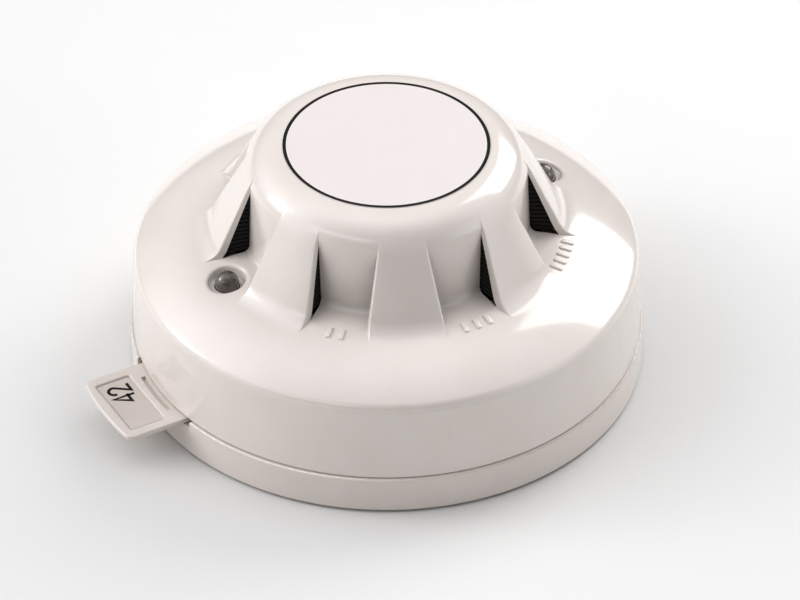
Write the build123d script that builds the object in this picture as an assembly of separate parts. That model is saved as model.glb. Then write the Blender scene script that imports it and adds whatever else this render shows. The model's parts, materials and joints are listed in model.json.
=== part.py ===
"""Ceiling heat detector: a head with eight hooded air inlets, twist-locked onto a shallow mounting base.

Millimetres. The base's back face lies on Z = 0 and the detector's face points to +Z.
The address card's tab points to -X. Angles are counted from +X, anticlockwise seen from the face.
"""
from build123d import *
from math import acos, atan2, cos, degrees, hypot, radians, sin, sqrt
import os

os.makedirs("parts", exist_ok=True)

# ---- driving dimensions -------------------------------------------------------------------------
BASE_RADIUS = 50.1
BASE_HEIGHT = 7.7
BASE_PLATE = 2.0
RIM_WALL = 1.8
SEAM = 0.15
BASE_EDGE = 0.3
BASE_FOOT_EDGE = 0.6

SKIRT_RADIUS = 49.6
SKIRT_TOP_RADIUS = 49.2
RIM_FILLET = 2.2
SHOULDER_RADIUS = 31.18
SHOULDER_CENTRE_R = 30.0
SHOULDER_TOP = 31.0
CROWN_TOP = 49.85
DOME_FLAT_RADIUS = 20.7
DOME_FILLET = 7.0
DOME_EDGE = 21.5
DOME_EDGE_FILLET = 0.35
CROWN_FOOT_RADIUS = 27.9
CROWN_FOOT_FILLET = 1.5
CROWN_BORE = 26.0
COVER_WALL = 1.7
SKIRT_BORE = 47.6

HOODS = 8
HOOD_FIRST = 22.5
HOOD_BROW = 16.0
HOOD_BROW_FROM = 40.0
HOOD_SLOPE = 63.5
HOOD_FLARE = 5.5
HOOD_FOOT_HALF = 7.4
HOOD_TAPER = 0.193
INLET_WALL = 1.35
INLET_SLOPE = 66.0
INLET_HALF_ANGLE = 12.0
INLET_APEX = 44.3
INLET_REACH = 33.4

LABEL_RADIUS = 20.0
LABEL_THICK = 0.15

LED_AT = 35.0
LED_RADIUS = 2.35
LED_CENTRE_Z = 29.6
LED_CUP_FLOOR = 28.8
LED_CUP_RADIUS = 3.85
LED_HOLE_RADIUS = 2.5
LED_LEAD_PITCH = 2.54

RING_OUTER = 47.2
RING_INNER = 45.4
RING_TOP = 9.2
LEDGE_INNER = 43.7
LEDGE_Z = (7.4, 9.2)
LEDGE_HALF = 7.0
LUG_OUTER = 45.1
LUG_Z = (5.2, 7.0)
LUG_HALF = 6.0
TONGUE_R = (41.6, 43.3)
TONGUE_HALF = 8.0
BAYONETS = (0.0, 120.0, 240.0)
STOP_LOCKED = (-9.5, -6.6)
STOP_RELEASED = (21.8, 24.5)

CABLE_RADIUS = 11.0
CABLE_COLLAR = 3.5
SLOT_AT = 30.0
SLOT_RADIUS = 2.2
SLOT_LENGTH = 13.4

CARD_Y = 1.0
CARD_HALF = 9.75
CARD_CORNER = 1.8
CARD_EDGE = 0.3
CARD_TONGUE_HALF = 8.5
CARD_TONGUE_THICK = 0.8
CARD_Z = (6.5, 7.6)
CARD_OUTER = 61.9
CARD_INNER_X = -36.5
CARD_NOTCH_HALF = 11.2
CARD_PANEL_X = (-59.8, -52.4)
CARD_PANEL_HALF = 7.55
CARD_PANEL_DEPTH = 0.45
CARD_GROOVE_R = (50.3, 51.2)
CARD_GROOVE_DEPTH = 0.7
READER_X = -39.0
READER_LOW = 8.0
CODE_PITCH = 2.2
CODE_BITS = 7

TERMINAL_RADIUS = 29.0
TERMINAL_SCREW_Y = -4.5
TERMINAL_ANGLES = (-52.0, 0.0, 52.0, 128.0, 232.0)
CONTACT_SPAN = 27.0
CONTACT_Z = (8.9, 9.6)

CHASSIS_RADIUS = 47.2
CHASSIS_Z = (9.6, 11.2)
CASE_SCREW_AT = 40.0
CASE_SCREW_RADIUS = 1.35
CASE_BOSS_RADIUS = 3.2
CASE_BOSS_LOW = 14.0
CASE_SCREW_ANGLES = (90.0, 210.0, 330.0)
BOARD_Z = (15.0, 16.6)
BOARD_RADIUS = 38.5
BOARD_SCREW_AT = 30.0
BOARD_SCREW_ANGLES = (30.0, 150.0, 270.0)
GUIDE_RADIUS = 25.6
GUIDE_WALL = 1.2
GUIDE_TOP = 42.0
GUIDE_BRIM = 33.9
GUIDE_BRIM_Z = (27.6, 28.8)
GUIDE_WINDOW_Z = (29.6, 40.5)
GUIDE_WINDOW_HALF = 10.0
POST_RADIUS = 2.5
BEAD_Z = 38.0
MICRO_X = 10.0

LOW = (Align.CENTER, Align.CENTER, Align.MIN)


# ---- helpers ------------------------------------------------------------------------------------
def save(name, shape):
    """Writes one named piece, or a group of identical fasteners, to its STEP file."""
    export_step(shape, f"parts/{name}.step")


def turn(angle, shape):
    """The shape turned about the detector's axis."""
    return Rot(0, 0, angle) * shape


def polar(radius, angle):
    """The X and Y of a point given by its radius and its angle in degrees."""
    return radius * cos(radians(angle)), radius * sin(radians(angle))


def rod(x, y, radius, z0, z1):
    """An upright cylinder."""
    return Pos(x, y, z0) * Cylinder(radius, z1 - z0, align=LOW)


def tube(x, y, bore, outer, z0, z1):
    """An upright tube."""
    return rod(x, y, outer, z0, z1) - rod(x, y, bore, z0 - 1, z1 + 1)


def block(x0, x1, y0, y1, z0, z1):
    """A box given by its limits."""
    size = Box(x1 - x0, y1 - y0, z1 - z0, align=(Align.MIN, Align.MIN, Align.MIN))
    return Pos(x0, y0, z0) * size


def spin(edges, angle=360.0):
    """The solid that a closed outline in the R, Z plane sweeps about the detector's axis."""
    return revolve(Plane.XZ * make_face(edges), Axis.Z, angle)


def spin_points(*points, angle=360.0):
    """The same, for an outline of straight sides."""
    return spin(Polyline(*points, close=True), angle)


def sector(r0, r1, z0, z1, a0, a1):
    """A piece of a flat ring between two angles."""
    return turn(a0, spin_points((r0, z0), (r1, z0), (r1, z1), (r0, z1), angle=a1 - a0))


def on_circle(centre, radius, angle):
    """A point of a circle in the R, Z plane."""
    return centre[0] + radius * cos(radians(angle)), centre[1] + radius * sin(radians(angle))


def arc(centre, radius, start, end):
    """An arc in the R, Z plane, from one angle to another."""
    middle = on_circle(centre, radius, (start + end) / 2)
    return ThreePointArc(on_circle(centre, radius, start), middle, on_circle(centre, radius, end))


# ---- the outer cover's sections ------------------------------------------------------------------
SHOULDER = (SHOULDER_CENTRE_R, SHOULDER_TOP - SHOULDER_RADIUS)
DOME = (DOME_FLAT_RADIUS, CROWN_TOP - DOME_FILLET)
BROW = on_circle(DOME, DOME_FILLET - HOOD_BROW, HOOD_BROW_FROM)


def rim_arc():
    """Centre of the rim's fillet, tangent to the skirt and the shoulder, and the angle where they meet."""
    centre_r = SKIRT_TOP_RADIUS - RIM_FILLET
    reach = SHOULDER_RADIUS - RIM_FILLET
    across = centre_r - SHOULDER[0]
    rise = sqrt(reach**2 - across**2)
    return (centre_r, SHOULDER[1] + rise), degrees(atan2(rise, across))


def shell():
    """The turned cover: skirt, rounded rim, shoulder, drafted crown wall and domed face."""
    rim, meet = rim_arc()
    inside = SHOULDER_RADIUS - COVER_WALL
    inside_meet = degrees(acos((SKIRT_BORE - SHOULDER[0]) / inside))
    inside_rim = on_circle(SHOULDER, inside, inside_meet)
    under = SHOULDER_TOP - COVER_WALL
    skirt_low = BASE_HEIGHT + SEAM
    wall_top = on_circle(DOME, DOME_FILLET, DOME_EDGE)
    wall_foot = (CROWN_FOOT_RADIUS, SHOULDER_TOP)
    outline = [
        Line((SKIRT_BORE, skirt_low), (SKIRT_RADIUS, skirt_low)),
        Line((SKIRT_RADIUS, skirt_low), (SKIRT_TOP_RADIUS, rim[1])),
        arc(rim, RIM_FILLET, 0, meet),
        arc(SHOULDER, SHOULDER_RADIUS, meet, 90),
        Line((SHOULDER[0], SHOULDER_TOP), wall_foot),
        Line(wall_foot, wall_top),
        arc(DOME, DOME_FILLET, DOME_EDGE, 90),
        Line((DOME[0], CROWN_TOP), (0, CROWN_TOP)),
        Line((0, CROWN_TOP), (0, CROWN_TOP - COVER_WALL)),
        Line((0, CROWN_TOP - COVER_WALL), (DOME[0], CROWN_TOP - COVER_WALL)),
        arc(DOME, DOME_FILLET - COVER_WALL, 90, 0),
        Line((CROWN_BORE, DOME[1]), (CROWN_BORE, under)),
        Line((CROWN_BORE, under), (SHOULDER[0], under)),
        arc(SHOULDER, inside, 90, inside_meet),
        Line(inside_rim, (SKIRT_BORE, skirt_low)),
    ]
    section = make_face(outline)
    for corner, radius in ((wall_foot, CROWN_FOOT_FILLET), (wall_top, DOME_EDGE_FILLET)):
        section = fillet(section.vertices().sort_by_distance(corner)[0], radius)
    return revolve(Plane.XZ * section, Axis.Z)


def shoulder_core():
    """Everything under the middle of the shoulder's wall, which the screw bosses are trimmed to."""
    middle = SHOULDER_RADIUS - COVER_WALL / 2
    top = (SHOULDER[0], SHOULDER[1] + middle)
    foot = (SHOULDER[0] + middle, SHOULDER[1])
    low = (0, foot[1])
    high = (0, top[1])
    return spin([arc(SHOULDER, middle, 0, 90), Line(top, high), Line(high, low), Line(low, foot)])


def hood_flare():
    """Centre of the hood's flared foot, its tangent points and the angle where it meets the shoulder."""
    top = on_circle(BROW, HOOD_BROW, 90 - HOOD_SLOPE)
    down = (cos(radians(HOOD_SLOPE)), -sin(radians(HOOD_SLOPE)))
    out = (-down[1], down[0])
    from_shoulder = (
        top[0] + HOOD_FLARE * out[0] - SHOULDER[0],
        top[1] + HOOD_FLARE * out[1] - SHOULDER[1],
    )
    along = from_shoulder[0] * down[0] + from_shoulder[1] * down[1]
    reach = SHOULDER_RADIUS + HOOD_FLARE
    run = -along - sqrt(along**2 - hypot(*from_shoulder) ** 2 + reach**2)
    slope_end = (top[0] + run * down[0], top[1] + run * down[1])
    centre = (slope_end[0] + HOOD_FLARE * out[0], slope_end[1] + HOOD_FLARE * out[1])
    foot_angle = degrees(atan2(centre[1] - SHOULDER[1], centre[0] - SHOULDER[0]))
    return top, slope_end, centre, foot_angle


def hood_sections():
    """The outlines of a hood and of the air space under it, in the R, Z plane."""
    top, slope_end, flare, foot_angle = hood_flare()
    foot = on_circle(SHOULDER, SHOULDER_RADIUS, foot_angle)
    inner_radius = HOOD_FLARE + INLET_WALL
    inner_angle = 270 - INLET_SLOPE
    floor_angle = 180 + degrees(acos((flare[0] - INLET_REACH) / inner_radius))
    inner_top = on_circle(flare, inner_radius, inner_angle)
    inner_foot = on_circle(flare, inner_radius, floor_angle)
    climb = (INLET_APEX - inner_top[1]) / sin(radians(INLET_SLOPE))
    apex = (inner_top[0] - climb * cos(radians(INLET_SLOPE)), INLET_APEX)
    under = SHOULDER_TOP - COVER_WALL
    inner_edge = [Line(apex, inner_top), arc(flare, inner_radius, inner_angle, floor_angle)]
    hood = inner_edge + [
        Line(inner_foot, (INLET_REACH, under)),
        Line((INLET_REACH, under), (foot[0], under)),
        Line((foot[0], under), foot),
        arc(flare, HOOD_FLARE, foot_angle + 180, 270 - HOOD_SLOPE),
        Line(slope_end, top),
        arc(BROW, HOOD_BROW, 90 - HOOD_SLOPE, HOOD_BROW_FROM),
        arc(DOME, DOME_FILLET, HOOD_BROW_FROM, 90),
        Line((DOME[0], CROWN_TOP), (DOME[0], CROWN_TOP - COVER_WALL)),
        Line((DOME[0], CROWN_TOP - COVER_WALL), apex),
    ]
    inside = CROWN_BORE - COVER_WALL
    space = inner_edge + [
        Line(inner_foot, (INLET_REACH, under - 1)),
        Line((INLET_REACH, under - 1), (inside, under - 1)),
        Line((inside, under - 1), (inside, DOME[1])),
        Line((inside, DOME[1]), apex),
    ]
    return hood, space


def hood_prism():
    """The block between a hood's two flat sides, which lean in towards the top. The hood is on +X."""
    low, high = SHOULDER_TOP - 10, CROWN_TOP + 1
    half_low = HOOD_FOOT_HALF + HOOD_TAPER * (SHOULDER_TOP - low)
    half_high = HOOD_FOOT_HALF - HOOD_TAPER * (high - SHOULDER_TOP)
    side = Polyline((-half_low, low), (half_low, low), (half_high, high), (-half_high, high), close=True)
    return Pos(DOME[0] - 5, 0, 0) * extrude(Plane.YZ * make_face(side), SKIRT_RADIUS - DOME[0])


def outer_cover():
    """The head's white shell with its eight hoods, inlets, lamp cups and screw bosses."""
    hood_outline, space_outline = hood_sections()
    hood = turn(-20, spin(hood_outline, 40)) & hood_prism()
    space = turn(-INLET_HALF_ANGLE, spin(space_outline, 2 * INLET_HALF_ANGLE)) & hood_prism()
    cover = shell()
    for k in range(HOODS):
        cover += turn(HOOD_FIRST + k * 360 / HOODS, hood)
    for k in range(HOODS):
        cover -= turn(HOOD_FIRST + k * 360 / HOODS, space)
    for side in (0, 180):
        cover += turn(side, rod(LED_AT, 0, LED_CUP_RADIUS + 0.8, LED_CUP_FLOOR - 1.8, SHOULDER_TOP - 1.4))
    for side in (0, 180):
        cup = Pos(LED_AT, 0, LED_CUP_FLOOR) * Cone(3.0, LED_CUP_RADIUS + 0.35, 2.6, align=LOW)
        cover -= turn(side, cup)
        cover -= turn(side, rod(LED_AT, 0, LED_HOLE_RADIUS, LED_CUP_FLOOR - 5, SHOULDER_TOP))
    for angle in CASE_SCREW_ANGLES:
        x, y = polar(CASE_SCREW_AT, angle)
        cover += rod(x, y, CASE_BOSS_RADIUS, CASE_BOSS_LOW, SHOULDER_TOP) & shoulder_core()
        cover -= rod(x, y, CASE_SCREW_RADIUS, CASE_BOSS_LOW - 1, CASE_BOSS_LOW + 9)
    return cover


# ---- the mounting base ---------------------------------------------------------------------------
def terminal_seat():
    """The block that holds one terminal, built on +X and running along +Y."""
    seat = block(TERMINAL_RADIUS - 4.5, TERMINAL_RADIUS + 4.5, -9.5, 1.5, BASE_PLATE, 4.0)
    return seat - rod(TERMINAL_RADIUS, TERMINAL_SCREW_Y, 1.5, BASE_PLATE + 0.3, 5.0)


def fixing_slot():
    """One long hole for a fixing screw, centred on +Y, with a shallow countersunk land."""
    run = SLOT_LENGTH - 2 * SLOT_RADIUS
    hole = Pos(0, SLOT_AT, -1) * extrude(SlotCenterToCenter(run, 2 * SLOT_RADIUS, rotation=90), 6)
    land = Pos(0, SLOT_AT, BASE_PLATE - 0.5) * extrude(SlotCenterToCenter(run, 8.0, rotation=90), 2)
    return hole, land


def base_body():
    """The white moulded base: plate, rim, bayonet ring, cable collar, terminal seats and card bed."""
    foot, rim_top = (BASE_RADIUS, 0), (BASE_RADIUS, BASE_HEIGHT)
    outline = Polyline(
        (CABLE_RADIUS, 0), foot, rim_top,
        (BASE_RADIUS - RIM_WALL, BASE_HEIGHT), (BASE_RADIUS - RIM_WALL, BASE_PLATE),
        (RING_OUTER, BASE_PLATE), (RING_OUTER, RING_TOP), (RING_INNER, RING_TOP),
        (RING_INNER, BASE_PLATE), (CABLE_RADIUS + 1.5, BASE_PLATE), (CABLE_RADIUS + 1.5, CABLE_COLLAR),
        (CABLE_RADIUS, CABLE_COLLAR), close=True,
    )
    section = make_face(outline)
    for edge, radius in ((foot, BASE_FOOT_EDGE), (rim_top, BASE_EDGE)):
        section = fillet(section.vertices().sort_by_distance(edge)[0], radius)
    base = revolve(Plane.XZ * section, Axis.Z)
    for angle in BAYONETS:
        base += sector(LEDGE_INNER, RING_INNER + 0.4, *LEDGE_Z, angle - LEDGE_HALF, angle + LEDGE_HALF)
        for low, high in (STOP_LOCKED, STOP_RELEASED):
            base += sector(LEDGE_INNER, RING_INNER + 0.4, BASE_PLATE, RING_TOP, angle + low, angle + high)
    for angle in TERMINAL_ANGLES:
        base += turn(angle, terminal_seat())
    bed_z = CARD_Z[0] - 0.2
    rail = CARD_TONGUE_HALF + 0.3
    base += block(-47, CARD_INNER_X - 1.5, CARD_Y - rail - 1.6, CARD_Y + rail + 1.6, BASE_PLATE, bed_z)
    for side in (-1, 1):
        edges = sorted((CARD_Y + side * rail, CARD_Y + side * (rail + 1.6)))
        base += block(-43.6, CARD_INNER_X - 1.5, *edges, bed_z, 7.4)
    notch = block(
        -BASE_RADIUS - 2, -43.6, CARD_Y - CARD_NOTCH_HALF, CARD_Y + CARD_NOTCH_HALF, bed_z, RING_TOP + 1
    )
    base -= notch
    hole, land = fixing_slot()
    for side in (0, 180):
        base -= turn(side, hole)
        base -= turn(side, land)
    return base


def contact_spring():
    """One leaf contact, clamped flat on its seat and rising to a nose under the head's contact plate."""
    upper = ((-9.0, 4.4), (0.4, 4.4), (6.2, 8.7), (8.6, 8.7), (10.3, 7.0))
    lower = ((10.0, 6.7), (8.4, 8.3), (6.35, 8.3), (0.55, 4.0), (-9.0, 4.0))
    strip = extrude(Plane.YZ * make_face(Polyline(*upper, *lower, close=True)), 5.0)
    return Pos(TERMINAL_RADIUS - 2.5, 0, 0) * strip - rod(TERMINAL_RADIUS, TERMINAL_SCREW_Y, 1.6, 3, 6)


def terminal_clamp():
    """The square clamp plate that a terminal screw presses onto the wire."""
    x, y = TERMINAL_RADIUS, TERMINAL_SCREW_Y
    plate = block(x - 3.5, x + 3.5, y - 3.5, y + 3.5, 4.4, 5.2)
    plate = fillet(plate.edges().filter_by(Axis.Z), 0.6)
    return plate - rod(x, y, 1.6, 4, 6)


# ---- fasteners -----------------------------------------------------------------------------------
def screw(x, y, seat_z, head_radius, head_height, shank_radius, tip_z):
    """A cross-head screw. Its head stands on seat_z, on the side away from tip_z."""
    up = 1 if tip_z < seat_z else -1
    top_z = seat_z + up * head_height
    head = rod(x, y, head_radius, min(seat_z, top_z), max(seat_z, top_z))
    face = head.faces().sort_by(Axis.Z)[-1 if up > 0 else 0]
    head = fillet(face.edges(), head_height * 0.35)
    shank = rod(x, y, shank_radius, min(seat_z, tip_z), max(seat_z, tip_z))
    arm, depth = head_radius * 0.6, head_height * 0.45
    cross = Box(2 * arm, 0.6, 2 * depth) + Box(0.6, 2 * arm, 2 * depth)
    return head + shank - Pos(x, y, top_z) * cross


def group(pieces):
    """Identical loose pieces kept together as separate solids."""
    return Compound(children=list(pieces))


# ---- the address card ----------------------------------------------------------------------------
def address_card():
    """The slide-in card: a framed tab outside the rim and a coded tongue inside it."""
    low, high = CARD_Z
    tab = block(-CARD_OUTER - 1, -47.8, CARD_Y - CARD_HALF, CARD_Y + CARD_HALF, low, high)
    tab &= rod(0, 0, CARD_OUTER, low, high)
    tab = fillet(tab.edges().filter_by(Axis.Z).sort_by(Axis.X)[:2], CARD_CORNER)
    tab = fillet(tab.faces().sort_by(Axis.Z)[-1].edges() + tab.faces().sort_by(Axis.Z)[0].edges(), CARD_EDGE)
    half = CARD_PANEL_HALF
    panel = block(*CARD_PANEL_X, CARD_Y - half, CARD_Y + half, high - CARD_PANEL_DEPTH, high + 1)
    tab -= fillet(panel.edges().filter_by(Axis.Z), 0.5)
    tab = fillet(tab.faces().sort_by(Axis.Z)[-1].inner_wires()[0].edges(), CARD_EDGE)
    middle = 180 - degrees(atan2(CARD_Y, BASE_RADIUS))
    tab -= sector(*CARD_GROOVE_R, high - CARD_GROOVE_DEPTH, high + 1, middle - 6.4, middle + 6.4)
    y0, y1 = CARD_Y - CARD_TONGUE_HALF, CARD_Y + CARD_TONGUE_HALF
    card = tab + block(-48.5, CARD_INNER_X, y0, y1, low, low + CARD_TONGUE_THICK)
    for y in code_rows():
        card += rod(READER_X, y, 0.6, low + CARD_TONGUE_THICK - 0.2, high + 0.1)
    return card


def code_rows():
    """The Y of each code position, for the card's pips and the reader's windows."""
    first = CARD_Y - CODE_PITCH * (CODE_BITS - 1) / 2
    return [first + CODE_PITCH * k for k in range(CODE_BITS)]


def number_label():
    """The thin printed label in the card's sunken panel."""
    half = CARD_PANEL_HALF - 0.3
    z = CARD_Z[1] - CARD_PANEL_DEPTH
    x0, x1 = CARD_PANEL_X
    return block(x0 + 0.3, x1 - 0.3, CARD_Y - half, CARD_Y + half, z, z + 0.12)


# ---- inside the head -----------------------------------------------------------------------------
def chassis():
    """The head's back moulding, with three bayonet tongues, screw bosses, board posts and reader window."""
    low, high = CHASSIS_Z
    body = rod(0, 0, CHASSIS_RADIUS, low, high) + tube(0, 0, 45.8, CHASSIS_RADIUS, high, high + 2.6)
    for angle in BAYONETS:
        body += sector(*TONGUE_R, LUG_Z[0] - 0.2, low + 0.2, angle - TONGUE_HALF, angle + TONGUE_HALF)
        body += sector(TONGUE_R[1] - 0.3, LUG_OUTER, *LUG_Z, angle - LUG_HALF, angle + LUG_HALF)
    for angle in CASE_SCREW_ANGLES:
        x, y = polar(CASE_SCREW_AT, angle)
        body += rod(x, y, 4.2, low, high + 2.6)
        body -= rod(x, y, 2.9, low - 1, high + 1.0)
        body -= rod(x, y, 1.6, low, high + 4)
    for angle in BOARD_SCREW_ANGLES:
        x, y = polar(BOARD_SCREW_AT, angle)
        body += tube(x, y, 1.15, 3.0, high, BOARD_Z[0])
    for angle in TERMINAL_ANGLES:
        x, y = polar(TERMINAL_RADIUS, angle + CONTACT_SPAN / 2)
        body -= rod(x, y, 1.0, low - 1, high + 1)
    window = block(READER_X - 2.2, READER_X + 2.7, CARD_Y - 8.2, CARD_Y + 8.2, low - 1, high + 1)
    return body - window


def contact_plate():
    """One flat contact under the chassis, just anticlockwise of its spring's seat."""
    x, y = polar(TERMINAL_RADIUS, CONTACT_SPAN / 2)
    plate = sector(TERMINAL_RADIUS - 3.5, TERMINAL_RADIUS + 3.5, *CONTACT_Z, 4, CONTACT_SPAN - 4)
    return plate - rod(x, y, 0.9, 8, 10)


def contact_rivet():
    """The rivet that holds one contact plate and carries it up to the board."""
    x, y = polar(TERMINAL_RADIUS, CONTACT_SPAN / 2)
    top = CHASSIS_Z[1]
    return rod(x, y, 0.9, CONTACT_Z[0], top + 0.3) + rod(x, y, 1.4, top, top + 0.6) + rod(
        x, y, 0.6, top + 0.6, BOARD_Z[0]
    )


def circuit_board():
    """The round board, notched for the case screws' bosses."""
    board = rod(0, 0, BOARD_RADIUS, *BOARD_Z)
    for angle in CASE_SCREW_ANGLES:
        board -= rod(*polar(CASE_SCREW_AT, angle), 5.0, 14, 18)
    for angle in BOARD_SCREW_ANGLES:
        board -= rod(*polar(BOARD_SCREW_AT, angle), 1.3, 14, 18)
    return board


def address_reader():
    """The block under the board that reads the card's seven pips through the chassis window."""
    low = READER_LOW
    body = block(READER_X - 2.0, READER_X + 2.5, CARD_Y - 8.0, CARD_Y + 8.0, low, BOARD_Z[0])
    for y in code_rows():
        body -= rod(READER_X, y, 0.5, low - 1, low + 1.2)
    return body


def air_guide():
    """The black moulding behind the hoods: a windowed wall, a brim under the inlets and the post's spider."""
    bore = GUIDE_RADIUS - GUIDE_WALL
    guide = tube(0, 0, bore, GUIDE_RADIUS, BOARD_Z[1], GUIDE_TOP)
    for k in range(HOODS):
        middle = HOOD_FIRST + k * 360 / HOODS
        low, high = middle - GUIDE_WINDOW_HALF, middle + GUIDE_WINDOW_HALF
        guide -= sector(bore - 1, GUIDE_RADIUS + 1, *GUIDE_WINDOW_Z, low, high)
    guide += tube(0, 0, bore + 0.2, GUIDE_BRIM, *GUIDE_BRIM_Z)
    for side in (0, 180):
        guide -= turn(side, rod(LED_AT, 0, LED_CUP_RADIUS + 1.4, 26, 30))
    spider = tube(0, 0, POST_RADIUS + 0.1, POST_RADIUS + 1.2, GUIDE_BRIM_Z[0], GUIDE_BRIM_Z[1])
    for k in range(3):
        spoke = block(POST_RADIUS + 0.8, bore + 0.3, -0.8, 0.8, *GUIDE_BRIM_Z)
        spider += turn(30 + 120 * k, spoke)
    return guide + spider


def lamp():
    """One indicator lamp on +X: a domed, flanged lens."""
    base = LED_CUP_FLOOR - 2.8
    body = rod(LED_AT, 0, LED_RADIUS, base, LED_CENTRE_Z) + rod(LED_AT, 0, 2.9, base, base + 0.9)
    return body + Pos(LED_AT, 0, LED_CENTRE_Z) * Sphere(LED_RADIUS)


def lamp_legs():
    """The four wire legs of the two lamps."""
    for side in (0, 180):
        for offset in (-LED_LEAD_PITCH / 2, LED_LEAD_PITCH / 2):
            yield turn(side, rod(LED_AT + offset, 0, 0.25, BOARD_Z[1], LED_CUP_FLOOR - 2.8))


def thermistor_legs():
    """The two wire legs that hold the sensing bead up in the air stream."""
    for x in (-0.6, 0.6):
        yield rod(x, 0, 0.2, BOARD_Z[1], BEAD_Z)


def sensing_thermistor():
    """The glass-coated bead, around the ends of its two legs."""
    bead = Pos(0, 0, BEAD_Z) * Sphere(1.4)
    for leg in thermistor_legs():
        bead -= leg
    return bead


def microcontroller():
    """A square flat pack with eight legs on each side."""
    half, top = 3.5, BOARD_Z[1]
    chip = Pos(MICRO_X, 0, top + 0.2) * Box(2 * half, 2 * half, 1.2, align=LOW)
    leg = Pos(half + 0.4, 0, top) * Box(1.2, 0.35, 0.35, align=LOW)
    for side in range(4):
        for k in range(8):
            place = Pos(MICRO_X, 0, 0) * Rot(0, 0, 90 * side) * Pos(0, 0.8 * (k - 3.5), 0)
            chip += place * leg
    return chip


def surge_suppressor():
    """A moulded diode block with a folded tab at each end."""
    body = Pos(-9, -11, BOARD_Z[1] + 0.1) * Box(5.2, 3.6, 2.2, align=LOW)
    tabs = Pos(-9, -11, BOARD_Z[1]) * Box(7.2, 2.0, 0.3, align=LOW)
    return body + tabs


def quartz_crystal():
    """A low crystal can with rounded ends and a base flange."""
    can = extrude(SlotOverall(9.6, 3.6), 3.2)
    flange = extrude(SlotOverall(10.6, 4.4), 0.5)
    return Pos(10, 12, BOARD_Z[1]) * (can + flange)


def smoothing_capacitor():
    """An upright electrolytic can with a rounded top edge."""
    can = rod(-10, 8, 4.0, BOARD_Z[1], BOARD_Z[1] + 8.5)
    return fillet(can.faces().sort_by(Axis.Z)[-1].edges(), 0.5)


def chip_parts():
    """Small surface-mount parts in two arcs on the board."""
    for angle in range(200, 341, 14):
        yield turn(angle, Pos(20, 0, BOARD_Z[1]) * Box(1.25, 2.0, 0.6, align=LOW))
    for angle in range(45, 136, 15):
        yield turn(angle, Pos(35, 0, BOARD_Z[1]) * Box(1.6, 3.2, 0.7, align=LOW))


# ---- the pieces ----------------------------------------------------------------------------------
save("base_body", base_body())
save("address_card", address_card())
save("number_label", number_label())
for number, angle in enumerate(TERMINAL_ANGLES, start=1):
    save(f"contact_spring_{number}", turn(angle, contact_spring()))
    save(f"terminal_clamp_{number}", turn(angle, terminal_clamp()))
    save(f"contact_plate_{number}", turn(angle, contact_plate()))
terminal_screw = screw(TERMINAL_RADIUS, TERMINAL_SCREW_Y, 5.2, 2.8, 1.8, 1.5, 2.4)
save("terminal_screws", group(turn(angle, terminal_screw) for angle in TERMINAL_ANGLES))
save("contact_rivets", group(turn(angle, contact_rivet()) for angle in TERMINAL_ANGLES))

save("outer_cover", outer_cover())
save("label_disc", rod(0, 0, LABEL_RADIUS, CROWN_TOP, CROWN_TOP + LABEL_THICK))
save("chassis", chassis())
case_screw = screw(CASE_SCREW_AT, 0, CHASSIS_Z[1] + 1.0, 2.6, 1.9, CASE_SCREW_RADIUS, CASE_BOSS_LOW + 7.5)
save("case_screws", group(turn(angle, case_screw) for angle in CASE_SCREW_ANGLES))
save("circuit_board", circuit_board())
board_screw = screw(BOARD_SCREW_AT, 0, BOARD_Z[1], 2.2, 1.4, 1.15, CHASSIS_Z[1] + 0.6)
save("board_screws", group(turn(angle, board_screw) for angle in BOARD_SCREW_ANGLES))
save("address_reader", address_reader())
save("air_guide", air_guide())
save("indicator_lamp_1", turn(180, lamp()))
save("indicator_lamp_2", lamp())
save("lamp_spacers", group(turn(side, tube(LED_AT, 0, 1.9, 2.8, BOARD_Z[1], 25.9)) for side in (0, 180)))
save("lamp_leads", group(lamp_legs()))
save("thermistor_post", tube(0, 0, 1.3, POST_RADIUS, BOARD_Z[1], 34.0))
save("thermistor_leads", group(thermistor_legs()))
save("sensing_thermistor", sensing_thermistor())
save("reference_thermistor", Pos(0, -14, BOARD_Z[1]) * Box(3.2, 1.6, 1.1, align=LOW))
save("microcontroller", microcontroller())
save("quartz_crystal", quartz_crystal())
save("smoothing_capacitor", smoothing_capacitor())
save("surge_suppressor", surge_suppressor())
save("chip_components", group(chip_parts()))
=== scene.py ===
"""The looks of a ceiling heat detector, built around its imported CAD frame.

Outlines and grids are in millimetres and become metres where a mesh is made. An outline is a line
of points in the R, Z plane: distance from the detector's axis, and height. Angles are in degrees.
Those round the axis run anticlockwise from +X, seen from the detector's face, as in the frame.
"""
import json
from math import acos, atan, cos, degrees, hypot, radians, sin, sqrt

import bmesh
import bpy
import numpy as np
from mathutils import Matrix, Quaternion, Vector


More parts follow.
